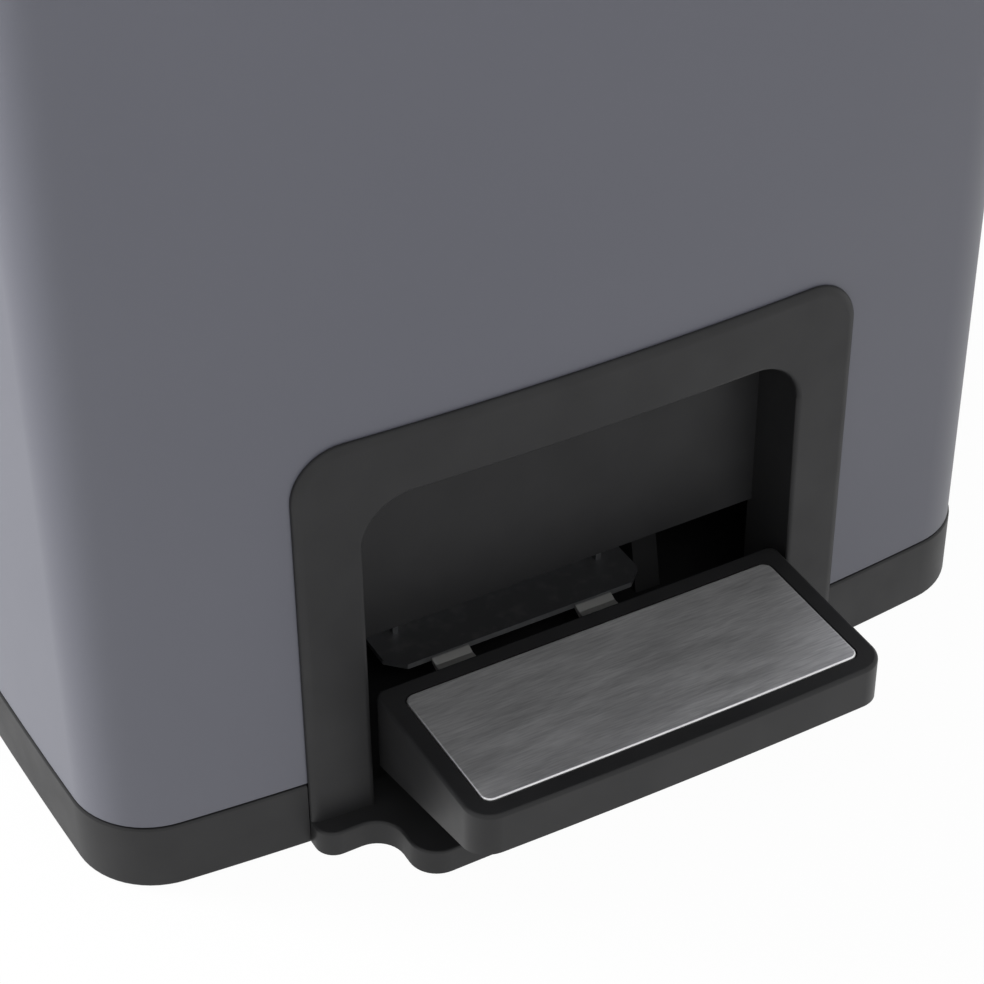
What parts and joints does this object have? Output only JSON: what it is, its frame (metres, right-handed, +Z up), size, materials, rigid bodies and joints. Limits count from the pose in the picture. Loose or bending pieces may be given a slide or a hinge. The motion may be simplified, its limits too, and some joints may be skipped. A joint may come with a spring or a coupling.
{
  "type": "double recycling bin",
  "caption": "Free-standing pedal bin with a painted steel body, a wide front pedal in a moulded surround, a hinged lid and side-by-side inner buckets.",
  "frame": {"origin": "middle of the footprint's bounding box, pedal included, on the floor under the rubber feet", "axes": "+Z up; -Y towards the pedal at the front; +X to the right as seen from the front"},
  "size_m": [0.4074, 0.4184, 0.6],
  "materials": {
    "painted_steel": "satin grey paint",
    "black_plastic": "fine matt moulded",
    "brushed_steel": "brushed along its length",
    "zinc_steel": "zinc plated",
    "nylon": "natural",
    "rubber": "matt",
    "bucket_plastic": "moulded"
  },
  "bodies": {
    "body": {"steel_wrap": "painted_steel", "base_tray": "black_plastic", "pedal_surround": "black_plastic", "inner_platform": "black_plastic", "foot_front_left": "rubber", "foot_front_right": "rubber", "foot_rear_left": "rubber", "foot_rear_right": "rubber", "pivot_pin": "zinc_steel", "pivot_block_left": "black_plastic", "pivot_block_right": "black_plastic", "rod_channel": "black_plastic", "rod_guide_lower": "nylon", "rod_guide_upper": "nylon", "damper_shelf": "nylon", "damper_cylinder": "zinc_steel", "top_collar": "black_plastic"},
    "pedal": {"pedal_body": "black_plastic", "pedal_plate": "brushed_steel", "pedal_lever": "zinc_steel", "pedal_screw_left": "zinc_steel", "pedal_screw_right": "zinc_steel"},
    "lifter": {"push_rod": "zinc_steel", "push_rod_foot": "nylon", "damper_piston": "zinc_steel", "damper_clip": "nylon"},
    "lid": {"lid_frame": "black_plastic", "lid_panel": "painted_steel", "lid_lug": "black_plastic", "hinge_pin_left": "zinc_steel", "hinge_pin_right": "zinc_steel", "lid_bumper_left": "rubber", "lid_bumper_right": "rubber"},
    "left_bucket": {"bucket_left": "bucket_plastic"},
    "right_bucket": {"bucket_right": "bucket_plastic"}
  },
  "joints": [
    {"name": "lid_hinge", "type": "hinge", "parent": "body", "child": "lid", "pos_m": [0, 0.20195, 0.578], "axis": [-1, 0, 0], "range_deg": [0, 80]},
    {"name": "pedal_pivot", "type": "hinge", "parent": "body", "child": "pedal", "pos_m": [0, -0.05415, 0.033], "axis": [1, 0, 0], "range_deg": [0, 12]},
    {"name": "push_rod_slide", "type": "slide", "parent": "body", "child": "lifter", "axis": [0, 0, 1], "range_m": [0, 0.05219]},
    {"name": "left_bucket_lift", "type": "slide", "parent": "body", "child": "left_bucket", "axis": [0, 0, 1], "range_m": [0, 0.034]},
    {"name": "right_bucket_lift", "type": "slide", "parent": "body", "child": "right_bucket", "axis": [0, 0, 1], "range_m": [0, 0.034]}
  ],
  "couplings": [
    {"joint": "pedal_pivot", "follows": "lid_hinge", "ratio": 0.15},
    {"joint": "push_rod_slide", "follows": "lid_hinge", "m_per_rad": 0.037377}
  ]
}
